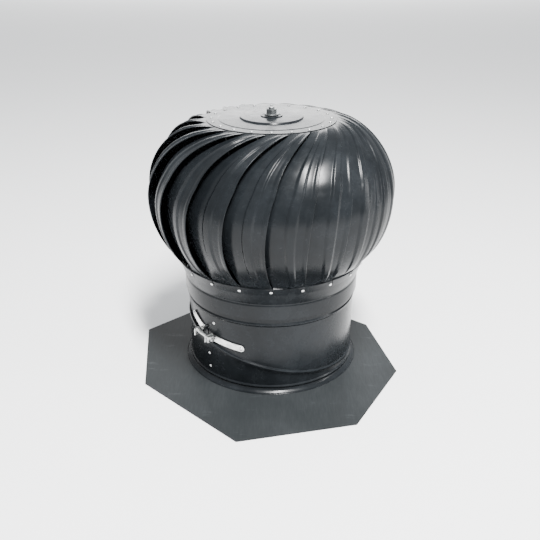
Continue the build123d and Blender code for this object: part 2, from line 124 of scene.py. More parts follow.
class Graph:
    """The node graph of one material."""

    def __init__(self, name: str) -> None:
        """Make an empty material with a Principled shader.

        Args:
            name: Name of the material.
        """
        self.material = bpy.data.materials.new(name)
        self.material.use_nodes = True
        self.tree = self.material.node_tree
        self.tree.nodes.clear()
        self.shader = self.node("ShaderNodeBsdfPrincipled", {}, {})
        out = self.node("ShaderNodeOutputMaterial", {}, {})
        self.tree.links.new(self.shader.outputs["BSDF"], out.inputs["Surface"])

    def node(
        self, kind: str, settings: dict[str, str], sockets: dict[str | int, Feed]
    ) -> bpy.types.Node:
        """Make a node, set its settings, and then set or link its inputs.

        Args:
            kind: Blender's name of the node type.
            settings: The node's own settings, by name.
            sockets: Inputs by name or place.

        Returns:
            The node.
        """
        node = self.tree.nodes.new(kind)
        for name, setting in settings.items():
            setattr(node, name, setting)
        for key, value in sockets.items():
            self.feed(node.inputs[key], value)
        return node

    def feed(self, socket: bpy.types.NodeSocket, value: Feed) -> None:
        """Set a socket to a constant, or link something to it.

        Args:
            socket: Input socket.
            value: Number, colour, value or output socket.
        """
        if isinstance(value, Value):
            self.tree.links.new(value.socket, socket)
        elif isinstance(value, bpy.types.NodeSocket):
            self.tree.links.new(value, socket)
        else:
            socket.default_value = value

    def dress(self, **sockets: Feed) -> None:
        """Set or link the shader's inputs, by name with underscores for spaces."""
        for name, value in sockets.items():
            self.feed(self.shader.inputs[name.replace("_", " ")], value)

    def maths(self, operation: str, first: Value | float, second: Value | float) -> Value:
        """Return the outcome of a Math node."""
        node = self.node("ShaderNodeMath", {"operation": operation}, {0: first, 1: second})
        return Value(self, node.outputs[0])

    def smooth(self, value: Value, low: float, high: float) -> Value:
        """Return a smooth step of a value between two limits."""
        node = self.node(
            "ShaderNodeMapRange",
            {"interpolation_type": "SMOOTHSTEP"},
            {1: low, 2: high, 3: 0.0, 4: 1.0, 0: value},
        )
        return Value(self, node.outputs[0])

    def place(self, stretch: Point) -> bpy.types.NodeSocket:
        """Return the object coordinates, stretched.

        Args:
            stretch: Scale of the pattern along X, Y and Z.

        Returns:
            The vector's output socket.
        """
        where = self.node("ShaderNodeTexCoord", {}, {}).outputs["Object"]
        node = self.node("ShaderNodeMapping", {}, {"Vector": where, "Scale": stretch})
        return node.outputs["Vector"]

    def noise(
        self,
        scale: float,
        detail: float = 3.0,
        stretch: Point = (1.0, 1.0, 1.0),
        roughness: float = 0.5,
    ) -> Value:
        """Return fractal noise from 0 to 1.

        Args:
            scale: Cells for each metre.
            detail: Octaves.
            stretch: Scale along X, Y and Z.
            roughness: Weight of the fine octaves.

        Returns:
            The noise.
        """
        sockets = {"Scale": scale, "Detail": detail, "Roughness": roughness}
        node = self.node("ShaderNodeTexNoise", {}, {"Vector": self.place(stretch), **sockets})
        return Value(self, node.outputs["Fac"])

    def blend(self, share: Value, low: Point, high: Point) -> bpy.types.NodeSocket:
        """Return a colour between two colours.

        Args:
            share: 0 for the first colour and 1 for the second.
            low: First colour.
            high: Second colour.

        Returns:
            The colour's output socket.
        """
        sockets = {0: share, 6: (*low, 1.0), 7: (*high, 1.0)}
        return self.node("ShaderNodeMix", {"data_type": "RGBA"}, sockets).outputs[2]

    def bump(self, height: Value, depth: float, strength: float) -> None:
        """Feed a bump to the shader's normal.

        Args:
            height: Height pattern from 0 to 1.
            depth: Depth of the pattern in metres.
            strength: Share of the bump.
        """
        sockets = {"Height": height, "Distance": depth, "Strength": strength}
        self.dress(Normal=self.node("ShaderNodeBump", {}, sockets).outputs["Normal"])


# ------------------------------------------------------------------ finishes
@dataclass(frozen=True)
class Enamel:
    """Baked enamel on sheet steel: glossy, a little uneven, with a film of dust."""

    name: str = "black_enamel"
    deep: Point = (0.005, 0.006, 0.007)
    worn: Point = (0.012, 0.014, 0.016)
    gloss: float = 0.21
    spread: float = 0.12
    coat: float = 0.04
    coat_roughness: float = 0.2
    specular: float = 0.13
    ripple: float = 0.00016

    def material(self) -> bpy.types.Material:
        """Make the finish.

        Returns:
            The material.
        """
        graph = Graph(self.name)
        cloud = graph.noise(9.0, 4.0)
        film = graph.noise(55.0, 5.0, roughness=0.65)
        speck = graph.noise(900.0, 2.0)
        tone = (cloud * 0.7 + film * 0.3).ramp(0.35, 0.7)
        graph.dress(
            Base_Color=graph.blend(tone, self.deep, self.worn),
            Roughness=self.gloss + self.spread * (film * 0.6 + cloud * 0.4).ramp(0.35, 0.72),
            Coat_Weight=self.coat,
            Coat_Roughness=self.coat_roughness,
            Specular_IOR_Level=self.specular,
        )
        graph.bump(graph.noise(14.0, 2.0) * 0.96 + speck * 0.04, self.ripple, 0.6)
        return graph.material


@dataclass(frozen=True)
class Flashing:
    """Dull coated sheet with faint rolling marks and handling scuffs."""

    name: str = "flashing_coat"
    dark: Point = (0.012, 0.014, 0.015)
    pale: Point = (0.026, 0.029, 0.031)
    roughness: float = 0.55
    specular: float = 0.22
    ripple: float = 0.0004

    def material(self) -> bpy.types.Material:
        """Make the finish.

        Returns:
            The material.
        """
        graph = Graph(self.name)
        cloud = graph.noise(7.0, 5.0)
        grain = graph.noise(420.0, 2.0, (1.0, 0.12, 1.0))
        scuff = graph.noise(40.0, 6.0, (0.3, 1.0, 1.0), 0.7).ramp(0.58, 0.72)
        tone = (cloud * 0.6 + grain * 0.3 + scuff * 0.25).ramp(0.3, 0.8)
        graph.dress(
            Base_Color=graph.blend(tone, self.dark, self.pale),
            Roughness=self.roughness + 0.16 * cloud - 0.10 * scuff,
            Specular_IOR_Level=self.specular,
        )
        graph.bump(cloud * 0.8 + grain * 0.2, self.ripple, 0.5)
        return graph.material


@dataclass(frozen=True)
class Metal:
    """Bare or plated metal with fine scratches and a duller patina in patches."""

    name: str
    bright: Point
    dull: Point
    gloss: float = 0.22
    spread: float = 0.25
    grain: float = 700.0
    scratch_depth: float = 0.00005

    def material(self) -> bpy.types.Material:
        """Make the finish.

        Returns:
            The material.
        """
        graph = Graph(self.name)
        patch = graph.noise(60.0, 5.0)
        scratch = graph.noise(self.grain, 2.0, (1.0, 1.0, 0.15))
        graph.dress(
            Base_Color=graph.blend(patch.ramp(0.4, 0.7), self.bright, self.dull),
            Roughness=self.gloss + self.spread * (patch * 0.6 + scratch * 0.4).ramp(0.3, 0.75),
            Metallic=1.0,
        )
        graph.bump(scratch, self.scratch_depth, 0.5)
        return graph.material


class Finish(Enum):
    """Finishes of the ventilator, by the record's material slot."""

    BLACK = "black_sheet"
    FLASHING = "flashing"
    ZINC = "zinc"
    RIVET = "rivet_steel"
    STEEL = "plain_steel"


@dataclass
class Palette:
    """Every finish, made once."""

    made: dict[Finish, bpy.types.Material] = field(default_factory=dict)

    def __post_init__(self) -> None:
        """Make the materials."""
        self.made = {
            Finish.BLACK: Enamel().material(),
            Finish.FLASHING: Flashing().material(),
            Finish.ZINC: Metal("zinc_plate", (0.78, 0.78, 0.76), (0.52, 0.53, 0.53)).material(),
            Finish.RIVET: Metal(
                "rivet_face", (0.80, 0.80, 0.79), (0.45, 0.45, 0.45), gloss=0.25
            ).material(),
            Finish.STEEL: Metal(
                "drawn_steel", (0.20, 0.21, 0.21), (0.09, 0.09, 0.095), gloss=0.3
            ).material(),
        }

    def dress(self, piece: bpy.types.Object, finish: Finish) -> None:
        """Give a piece one finish.

        Args:
            piece: Object to dress.
            finish: Finish to use.
        """
        piece.data.materials.clear()
        piece.data.materials.append(self.made[finish])

    def dress_node(self, node: bpy.types.Object, finish: Finish) -> None:
        """Give a CAD node a finish through its material slots."""
        for place in node.material_slots:
            place.link = "OBJECT"
            place.material = self.made[finish]


# ------------------------------------------------------------------ meshes
SIDE_SHARE = 0.49  # of a side that a corner's rounding may take
LEAST_COSINE = 0.5  # past which a wall isn't lengthened at a bend


@dataclass
class Maker:
    """Turns grids of points into pieces that ride on a body."""

    palette: Palette

    def grid(
        self,
        name: str,
        grids: list[np.ndarray],
        body: str,
        finish: Finish,
        nodes: tuple[str, ...] = (),
        along: bool = False,
        caps: bool = False,
        angle: float = 40.0,
    ) -> bpy.types.Object:
        """Make one piece from grids of points.

        Each grid has rows along the piece and columns around it. A cell joins two columns and two
        rows, and the last column joins the first.

        Args:
            name: Name of the piece.
            grids: Arrays of shape (rows, columns, 3), in metres.
            body: Body that the piece rides on.
            finish: Finish of the piece.
            nodes: CAD nodes that the piece stands for.
            along: Whether the rows close on themselves.
            caps: Whether each end row is closed by strips between facing columns.
            angle: Angle in degrees over which an edge is sharp.

        Returns:
            The piece.
        """
        points, quads, start = [], [], 0
        for grid in grids:
            rows, columns = grid.shape[:2]
            number = start + np.arange(rows * columns).reshape(rows, columns)
            wide = np.concatenate([number, number[:, :1]], 1)
            wide = np.concatenate([wide, wide[:1]], 0) if along else wide
            cells = [wide[:-1, :-1], wide[:-1, 1:], wide[1:, 1:], wide[1:, :-1]]
            quads.append(np.stack(cells, -1).reshape(-1, 4))
            if caps:
                half = columns // 2
                near = number[:, :half]
                far = number[:, ::-1][:, :half]
                for row, turn in ((0, 1), (-1, -1)):
                    strip = [near[row, :-1], far[row, :-1], far[row, 1:], near[row, 1:]]
                    quads.append(np.stack(strip, -1)[:, ::turn])
            points.append(grid.reshape(-1, 3))
            start += rows * columns
        corners, faces = np.concatenate(points), np.concatenate(quads)
        mesh = bpy.data.meshes.new(name)
        mesh.vertices.add(len(corners))
        mesh.vertices.foreach_set("co", corners.astype(np.float32).ravel())
        mesh.loops.add(faces.size)
        mesh.loops.foreach_set("vertex_index", faces.astype(np.int32).ravel())
        mesh.polygons.add(len(faces))
        mesh.polygons.foreach_set("loop_start", np.arange(0, faces.size, 4, dtype=np.int32))
        mesh.update(calc_edges=True)
        mesh.validate()
        mesh.shade_smooth()
        mesh.set_sharp_from_angle(angle=math.radians(angle))
        piece = bpy.data.objects.new(name, mesh)
        bpy.context.scene.collection.objects.link(piece)
        self.palette.dress(piece, finish)
        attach(piece, body)
        if nodes:
            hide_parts(*nodes)
        return piece


def turned(profile: np.ndarray, steps: int) -> np.ndarray:
    """Turn a closed profile about the Z axis.

    The point at heading a and profile place (r, z) is (r cos a, r sin a, z).

    Args:
        profile: Array of (radius, height).
        steps: Steps round the turn.

    Returns:
        Grid of shape (steps, profile points, 3).
    """
    turn = np.linspace(0.0, 2 * np.pi, steps, endpoint=False)[:, None]
    radius, height = profile[:, 0][None], profile[:, 1][None]
    return np.stack([radius * np.cos(turn), radius * np.sin(turn), height + 0 * turn], -1)


def walled(line: np.ndarray, gauge: float) -> np.ndarray:
    """Thicken an open profile to the left of its way, and close it.

    Each point moves by the gauge along the mean normal of its two neighbours, lengthened at a bend
    so that both walls keep the gauge.

    Args:
        line: Array of (radius, height) along the sheet.
        gauge: Thickness, negative for the right side.

    Returns:
        Closed profile, out along the line and back along its other side.
    """
    step = np.diff(line, axis=0)
    step /= np.linalg.norm(step, axis=1, keepdims=True)
    before = np.concatenate([step[:1], step])
    after = np.concatenate([step, step[-1:]])
    mean = before + after
    mean /= np.linalg.norm(mean, axis=1, keepdims=True)
    reach = gauge / np.maximum((mean * after).sum(1, keepdims=True), LEAST_COSINE)
    normal = np.stack([-mean[:, 1], mean[:, 0]], -1)
    return np.concatenate([line, (line + normal * reach)[::-1]])


def rounded(corners: list[Point], steps: int = 7) -> np.ndarray:
    """Round the corners of an open line.

    Each corner is replaced by a quadratic curve that starts and ends at its rounding distance along
    the two sides and is drawn towards the corner. No curve reaches the middle of a side.

    Args:
        corners: (x, y, rounding distance) for each corner, in millimetres.
        steps: Points for each corner.

    Returns:
        Array of (x, y) in metres.
    """
    spots = np.array([c[:2] for c in corners])
    out = [spots[:1]]
    share = np.linspace(0.0, 1.0, steps)[:, None]
    for index in range(1, len(corners) - 1):
        here = spots[index]
        back, ahead = spots[index - 1] - here, spots[index + 1] - here
        size = corners[index][2]
        before, after = np.linalg.norm(back), np.linalg.norm(ahead)
        start = here + back / before * min(size, before * SIDE_SHARE)
        end = here + ahead / after * min(size, after * SIDE_SHARE)
        out.append((1 - share) ** 2 * start + 2 * share * (1 - share) * here + share**2 * end)
    out.append(spots[-1:])
    return np.concatenate(out) * MM


# ------------------------------------------------------------------ vanes
@dataclass
class VaneSet:
    """Twenty pressed vanes of the turbine's head, in millimetres, degrees and shares."""

    maker: Maker
    count: int = 20
    first: float = -90.0
    foot: tuple[float, float] = (163.5, 196.0)
    knee: tuple[float, float] = (169.45, 210.7)
    belly: tuple[float, float] = (213.7, 327.4)
    low_curve: float = 170.0
    shoulder_end: tuple[float, float] = (112.0, 448.5)
    fullness: float = 0.49
    tip: float = 94.0
    tuck: float = 18.0
    tuck_fullness: float = 0.8
    end_width: float = 17.2
    extra_width: float = 4.3
    foot_lead: float = 1.5
    sweep: float = 3.8
    sweep_end: float = 0.6
    lead: float = 43.0
    lead_power: float = 2.9
    curl_start: float = 0.44
    rib: float = 2.1
    rib_start: float = 0.505
    rib_end: float = 0.695
    rib_run: float = 0.065
    lip: float = 1.7
    lip_start: float = 0.885
    lip_run: float = 0.09
    panel_curve: float = 1.5
    gauge: float = 0.8
    hem: float = 1.1
    rib_run_in: float = 3.0
    hem_run_in: float = 4.0
    slope_reach: float = 0.012
    path_steps: int = 160
    hem_steps: int = 9
    rows: int = 132
    columns: int = 76

    def meridian(self) -> tuple[np.ndarray, np.ndarray]:
        """Return the free edge's path in the (radius, height) plane.

        It is a straight foot on the ring's cone, an arc up to the belly, a cubic curve over the
        shoulder whose handles have the fullness' share of its reach and rise, and a flat tip.

        Returns:
            Shares of the length, and points of shape (n, 2) in millimetres.
        """
        share = np.linspace(0.0, 1.0, self.path_steps)[:, None]
        corners = (self.foot, self.knee, self.belly, self.shoulder_end)
        foot, knee, belly, end = map(np.array, corners)
        straight = foot + (knee - foot) * share
        turn = np.arcsin((belly[1] - knee[1]) / self.low_curve) * (1 - share)
        centre = belly - np.array([self.low_curve, 0.0])
        arc = centre + self.low_curve * np.concatenate([np.cos(turn), -np.sin(turn)], 1)
        reach, rise = belly[0] - end[0], end[1] - belly[1]
        one = belly + np.array([0.0, self.fullness * rise])
        two = end + np.array([self.fullness * reach, 0.0])
        back = 1 - share
        handles = 3 * back**2 * share * one + 3 * back * share**2 * two
        cubic = back**3 * belly + handles + share**3 * end
        flat = end + (np.array([self.tip, end[1]]) - end) * share
        path = np.concatenate([straight, arc[1:], cubic[1:], flat[1:]])
        steps = np.linalg.norm(np.diff(path, axis=0), axis=1)
        length = np.concatenate([[0.0], np.cumsum(steps)])
        return length / length[-1], path

    @staticmethod
    def step(share: np.ndarray, start: float, run: float) -> np.ndarray:
        """Return 0 before the start, 1 past the run, and 3 t^2 - 2 t^3 between them."""
        ahead = np.clip((share - start) / run, 0, 1)
        return ahead**2 * (3 - 2 * ahead)

    def surface(self) -> np.ndarray:
        """Return the first vane's closed skin.

        A row is a section square to the free edge's path at one share of its length. Across it the
        outside follows the circle of the head, sinks towards the hidden edge by the tuck times
        (1 - share across) to the power of the panel's curve, and carries a flat-topped pressed rib
        and a raised lip. The free edge ends in a rolled hem, and the inside lies one gauge below.

        Returns:
            Grid of shape (rows, columns of the loop, 3) in metres.
        """
        shares, path = self.meridian()
        total = np.linalg.norm(np.diff(path, axis=0), axis=1).sum()
        foot_tab = np.linalg.norm(np.subtract(self.knee, self.foot)) / total
        tip_tab = (self.shoulder_end[0] - self.tip) / total
        along = np.linspace(0.0, 1.0, self.rows)
        further = np.minimum(along + self.slope_reach, 1)
        nearer = np.maximum(along - self.slope_reach, 0)
        place, ahead, behind = (
            np.stack([np.interp(share, shares, path[:, axis]) for axis in (0, 1)], -1)
            for share in (along, further, nearer)
        )
        slope = ahead - behind
        slope /= np.linalg.norm(slope, axis=1, keepdims=True)
        width = np.radians(self.end_width + self.extra_width * np.sin(np.pi * along) ** 2)
        bare = np.clip((along - foot_tab) / (1 - foot_tab - tip_tab), 0, 1)
        depth = self.tuck * np.sin(np.pi * bare) ** self.tuck_fullness
        swing = self.sweep * np.sin(np.pi * np.minimum(along / self.sweep_end, 1))
        curled = np.maximum((along - self.curl_start) / (1 - self.curl_start), 0)
        curl = self.lead * curled**self.lead_power
        heading = np.radians(self.first + self.foot_lead * (1 - along) - swing + curl) - width / 2
        rise = self.rib * np.minimum(np.sin(np.pi * bare) * self.rib_run_in, 1)

        across = np.linspace(0.0, 1.0, self.columns)
        turn = width[:, None] * (across[None] - 0.5)
        radius = place[:, :1]
        x = radius * np.sin(turn)
        sink = depth[:, None] * (1 - across[None]) ** self.panel_curve
        y = -slope[:, 1:] * radius * (1 - np.cos(turn)) - sink
        y = y + rise[:, None] * self.step(across[None], self.rib_start, self.rib_run)
        y = y - rise[:, None] * self.step(across[None], self.rib_end, self.rib_run)
        lip = self.step(across[None], self.lip_start, self.lip_run)
        y = y + self.lip * (rise / self.rib)[:, None] * lip
        edge = np.stack([x[:, -1] - x[:, -2], y[:, -1] - y[:, -2]], -1)
        edge /= np.linalg.norm(edge, axis=1, keepdims=True)
        side = np.stack([-edge[:, 1], edge[:, 0]], -1)
        swell = np.minimum(np.sin(np.pi * bare) * self.hem_run_in, 1)
        roll = self.hem * swell * 0.5 + self.gauge / 2
        angles = np.linspace(0.5 * np.pi, -0.5 * np.pi, self.hem_steps)
        middle = np.stack([x[:, -1], y[:, -1] - self.gauge / 2], -1)
        hem = (
            middle[:, None]
            + roll[:, None, None] * np.cos(angles)[None, :, None] * edge[:, None]
            + roll[:, None, None] * np.sin(angles)[None, :, None] * side[:, None]
        )
        loop_x = np.concatenate([x[:, :-1], hem[..., 0], x[:, -2::-1]], 1)
        loop_y = np.concatenate([y[:, :-1], hem[..., 1], y[:, -2::-1] - self.gauge], 1)
        cos, sin = np.cos(heading)[:, None], np.sin(heading)[:, None]
        out_r, out_z = slope[:, 1:], -slope[:, :1]
        grid_r = radius + out_r * loop_y
        grid = [
            grid_r * cos - loop_x * sin,
            grid_r * sin + loop_x * cos,
            place[:, 1:] + out_z * loop_y,
        ]
        return np.stack(grid, -1) * MM

    def build(self) -> list[bpy.types.Object]:
        """Make every vane as a turned copy of the first.

        Returns:
            The vanes.
        """
        skin = self.surface()
        made = []
        for number in range(1, self.count + 1):
            turn = math.radians(360.0 / self.count * (number - 1))
            cos, sin = math.cos(turn), math.sin(turn)
            spin = np.array([[cos, sin, 0.0], [-sin, cos, 0.0], [0.0, 0.0, 1.0]])
            name, grids = f"pressed_vane_{number:02d}", [(skin @ spin)[:, ::-1]]
            dress = ("rotor", Finish.BLACK, (f"vane_{number:02d}",))
            made.append(self.maker.grid(name, grids, *dress, caps=True, angle=60.0))
        return made


# ------------------------------------------------------------------ collars
@dataclass(frozen=True)
class SlantedJoint:
    """Frame of the slanted swivel joint, in millimetres and degrees."""

    height: float = 63.6
    slope: float = 15.0
    rise_heading: float = 162.0
    radius: float = 155.2

    def ring(self, turn: np.ndarray, radius: np.ndarray, lift: np.ndarray) -> np.ndarray:
        """Return points about the joint's slanted axis.

        A point lies at the joint's middle + radius (cos turn u + sin turn v) + lift n, where n is
        the joint's normal, u the slanted direction over +X and v = n x u.

        Args:
            turn: Angles about the axis, in radians, as a column.
            radius: Distances from the axis, as a row.
            lift: Heights over the joint's plane, as a row.

        Returns:
            Array of shape (turns, points, 3) in millimetres.
        """
        slant = math.tan(math.radians(self.slope))
        heading = math.radians(self.rise_heading)
        across = np.array([1.0, 0.0, slant * math.cos(heading)])
        across /= np.linalg.norm(across)
        normal = np.array([-slant * math.cos(heading), -slant * math.sin(heading), 1.0])
        normal /= np.linalg.norm(normal)
        aside = np.cross(normal, across)
        spoke = np.cos(turn)[..., None] * across + np.sin(turn)[..., None] * aside
        middle = np.array([0.0, 0.0, self.height])
        return middle + radius[..., None] * spoke + lift[..., None] * normal


@dataclass
class Collar:
    """A rolled collar: a turned part, a gore, and a part turned about the slanted joint."""

    maker: Maker
    joint: SlantedJoint = field(default_factory=SlantedJoint)
    radius: float = 152.5
    gauge: float = 1.0
    turns: int = 288
    gore_steps: int = 10

    @staticmethod
    def level(turn: np.ndarray, profile: np.ndarray) -> np.ndarray:
        """Turn a profile of (radius, height) about the throat's axis, in millimetres."""
        radius, height = profile[None, :, 0], profile[None, :, 1]
        return np.stack([radius * np.cos(turn), radius * np.sin(turn), height + 0 * turn], -1)

    def tilted(self, turn: np.ndarray, profile: np.ndarray) -> np.ndarray:
        """Turn a profile of (radius, lift) about the joint's axis, in millimetres."""
        radius, lift = profile[None, :, 0], profile[None, :, 1]
        return self.joint.ring(turn + 0 * radius, radius, lift + 0 * turn)

    def skin(self, turn: np.ndarray, level: np.ndarray, tilted: np.ndarray) -> np.ndarray:
        """Return one side of the sheet, from the level profile over the gore to the tilted one.

        A point of the gore lies on the straight line from the level profile's last point to the
        tilted profile's first point at the same turn.

        Args:
            turn: Angles as a column.
            level: Profile about the throat's axis.
            tilted: Profile about the joint's axis, as (radius, lift).

        Returns:
            Array of shape (turns, points, 3) in millimetres.
        """
        low, high = self.level(turn, level), self.tilted(turn, tilted)
        share = np.linspace(0.0, 1.0, self.gore_steps + 1)[1:-1][None, :, None]
        gore = low[:, -1:] * (1 - share) + high[:, :1] * share
        return np.concatenate([low, gore, high], 1)


@dataclass
class LowerCollar(Collar):
    """Collar that stands on the flashing, with a coved foot, a bead and the joint's flange."""

    foot: float = 161.5
    cove: float = 6.5
    bead: float = 12.0
    bead_rise: float = 2.2
    bead_half: float = 2.8
    gore_bottom: float = 15.5
    neck: float = 3.6
    flange: float = 2.0
    lip: float = 0.35

    def build(self) -> bpy.types.Object:
        """Make the collar.

        Returns:
            The piece.
        """
        bore = self.radius - self.gauge
        line = rounded(
            [
                (self.foot, 1.55 + self.lip, 0),
                (self.foot - 0.9, 1.0, 0.5),
                (bore + 1.05 * self.cove, 1.0, 2.0),
                (bore + 0.25 * self.cove, 1.0 + 0.6 * self.cove, 3.0),
                (bore, self.bead - self.bead_half, 1.2),
                (bore + self.bead_rise, self.bead, 2.0),
                (bore, self.bead + self.bead_half, 1.2),
                (bore, self.gore_bottom, 0),
            ]
        )
        sheet = walled(line / MM, -self.gauge)
        half = len(line)
        inside, outside = sheet[:half], sheet[half:][::-1]
        turn = np.linspace(0.0, 2 * np.pi, self.turns, endpoint=False)[:, None]
        ring, edge = self.joint.radius, self.joint.radius + self.flange
        rise = 0.5 * self.gauge
        bore_ring = ring - self.gauge
        out = np.array(
            [
                (ring, -self.neck), (ring, -rise - 0.7), (ring + 0.25, -rise - 0.15),
                (ring + 0.8, -rise), (edge - 0.3, -rise), (edge, -rise + 0.3),
                (edge, rise - 0.3), (edge - 0.3, rise),
            ]
        )
        inner = np.array(
            [(bore_ring, -self.neck), (bore_ring, rise - 0.4), (bore_ring + 0.4, rise)]
        )
        skins = [self.skin(turn, outside, out), self.skin(turn, inside, inner)[:, ::-1]]
        loop = np.concatenate(skins, 1) * MM
        dress = ("base", Finish.BLACK, ("lower_collar",))
        return self.maker.grid("rolled_lower_collar", [loop], *dress, along=True)


@dataclass
class UpperCollar(Collar):
    """Collar that turns on the slanted joint: a channel, a gore, a bead and a straight throat."""

    gore_top: float = 117.0
    bead: float = 134.7
    bead_rise: float = 2.2
    bead_half: float = 2.8
    top: float = 194.0
    neck: float = 3.6
    slit_heading: float = -136.0
    slit_width: float = 3.0
    slit_top: float = 111.0
    gap: float = 0.3
    channel: float = 158.5
    channel_half: float = 1.8
    search_steps: int = 4096

    def throat(self) -> np.ndarray:
        """Lay out the sheet over the gore: a straight throat with a bead.

        Returns:
            Closed section as (radius, height) in millimetres.
        """
        bore = self.radius - self.gauge
        line = rounded(
            [
                (bore, self.top, 0),
                (bore, self.bead + self.bead_half, 1.4),
                (bore + self.bead_rise, self.bead, 2.1),
                (bore, self.bead - self.bead_half, 1.4),
                (bore, self.gore_top, 0),
            ]
        )
        return walled(line / MM, self.gauge)

    def build(self) -> bpy.types.Object:
        """Make the collar: a ring over the slit's top and an open strip below it.

        Returns:
            The piece.
        """
        sheet = self.throat()
        half = len(sheet) // 2
        inside, outside = sheet[:half], sheet[half:][::-1]
        ring, wide, reach = self.joint.radius, self.channel, self.channel_half
        bore_ring, shell, floor = ring - self.gauge, wide - self.gauge, reach - self.gauge
        out = np.array(
            [
                (ring, self.neck), (ring, reach + 0.7), (ring + 0.2, reach + 0.2),
                (ring + 0.8, reach), (wide - 0.9, reach), (wide - 0.25, reach - 0.25),
                (wide, reach - 0.9), (wide, 0.9 - reach), (wide - 0.25, 0.25 - reach),
                (wide - 0.9, -reach), (ring + self.gap, -reach),
            ]
        )
        inner = np.array(
            [
                (bore_ring, self.neck), (bore_ring, floor), (shell, floor), (shell, -floor),
                (ring + self.gap, -floor),
            ]
        )
        every = np.linspace(0.0, 2 * np.pi, self.turns, endpoint=False)[:, None]
        grids = []
        for turn, low in ((every, False), (self.strip_turns(), True)):
            skins = []
            for level, tilted in ((outside, out), (inside, inner)):
                foot, head = self.level(turn, level[-1:]), self.tilted(turn, tilted)
                cut = (self.gore_top - self.slit_top) / (self.gore_top - head[:, :1, 2:])
                start, end = (cut, 1.0) if low else (0.0 * cut, cut)
                steps = np.linspace(0.0, 1.0, self.gore_steps)[None, :, None]
                share = start + (end - start) * steps
                gore = foot * (1 - share) + head[:, :1] * share
                rest = [gore, head[:, 1:]] if low else [self.level(turn, level[:-1]), gore]
                skins.append(np.concatenate(rest, 1))
            grids.append([np.concatenate([skins[0], skins[1][:, ::-1]], 1)[:, ::-1] * MM])
        dress = ("neck", Finish.BLACK, ("upper_collar",))
        top = self.maker.grid("rolled_upper_collar", grids[0], *dress, along=True)
        self.maker.grid("swivel_channel", grids[1], *dress, caps=True)
        return top

    def strip_turns(self) -> np.ndarray:
        """Return the turns of the open strip, from one edge of the slit round to the other.

        The slit's middle is at the turn whose line on the gore has the slit's heading halfway up.

        Returns:
            Angles about the axis, in radians, as a column.
        """
        turn = np.linspace(-np.pi, np.pi, self.search_steps)[:, None]
        low = self.tilted(turn, np.array([[self.joint.radius, self.neck]]))[:, 0]
        high = self.level(turn, np.array([[self.radius, self.gore_top]]))[:, 0]
        middle = 0.5 * (low + high)
        heading = np.degrees(np.arctan2(middle[:, 1], middle[:, 0]))
        where = float(turn[np.argmin(np.abs(heading - self.slit_heading)), 0])
        half = 0.5 * self.slit_width / self.radius
        return np.linspace(where + half, where + 2 * np.pi - half, self.turns)[:, None]


# ------------------------------------------------------------------ ring and crown
@dataclass
class HeadRing:
    """Ring that carries the feet of the vanes: a skirt, a pressed groove and a cone."""

    maker: Maker
    radius: float = 157.5
    bottom: float = 147.5
    groove: float = 175.0
    groove_depth: float = 1.2
    groove_half: float = 3.0
    top_radius: float = 168.5
    top: float = 211.0
    gauge: float = 1.0
    turns: int = 288

    def build(self) -> bpy.types.Object:
        """Make the ring.

        Returns:
            The piece.
        """
        line = rounded(
            [
                (self.radius, self.bottom, 0),
                (self.radius, self.groove - self.groove_half, 1.6),
                (self.radius - self.groove_depth, self.groove, 2.0),
                (self.radius, self.groove + self.groove_half, 1.6),
                (self.top_radius, self.top, 0),
            ]
        )
        grid = turned(walled(line, self.gauge * MM), self.turns)
        dress = ("rotor", Finish.BLACK, ("vane_ring",))
        return self.maker.grid("head_ring", [grid[:, ::-1]], *dress, along=True)


@dataclass
class CrownDisc:
    """Pressed disc on top of the head, with two shallow steps and a hole for the bearing cup."""

    maker: Maker
    radius: float = 110.0
    rim: float = 449.6
    step_radius: float = 90.8
    step: float = 0.7
    centre_radius: float = 54.4
    centre_step: float = 2.6
    run: float = 1.8
    hole: float = 16.95
    gauge: float = 1.0
    turns: int = 288
    corner_steps: int = 5

    def build(self) -> bpy.types.Object:
        """Make the disc.

        Returns:
            The piece.
        """
        middle = self.rim + self.step + self.centre_step
        line = rounded(
            [
                (self.hole, middle, 0),
                (self.centre_radius - self.run, middle, 0.8),
                (self.centre_radius, middle - self.centre_step, 0.9),
                (self.step_radius - self.run, middle - self.centre_step, 0.6),
                (self.step_radius, self.rim, 0.5),
                (self.radius - 0.4, self.rim, 0.3),
                (self.radius, self.rim - 0.3, 0),
            ],
            self.corner_steps,
        )
        grid = turned(walled(line, -self.gauge * MM), self.turns)
        dress = ("rotor", Finish.BLACK, ("crown_plate",))
        return self.maker.grid("crown_disc", [grid], *dress, along=True, angle=35.0)


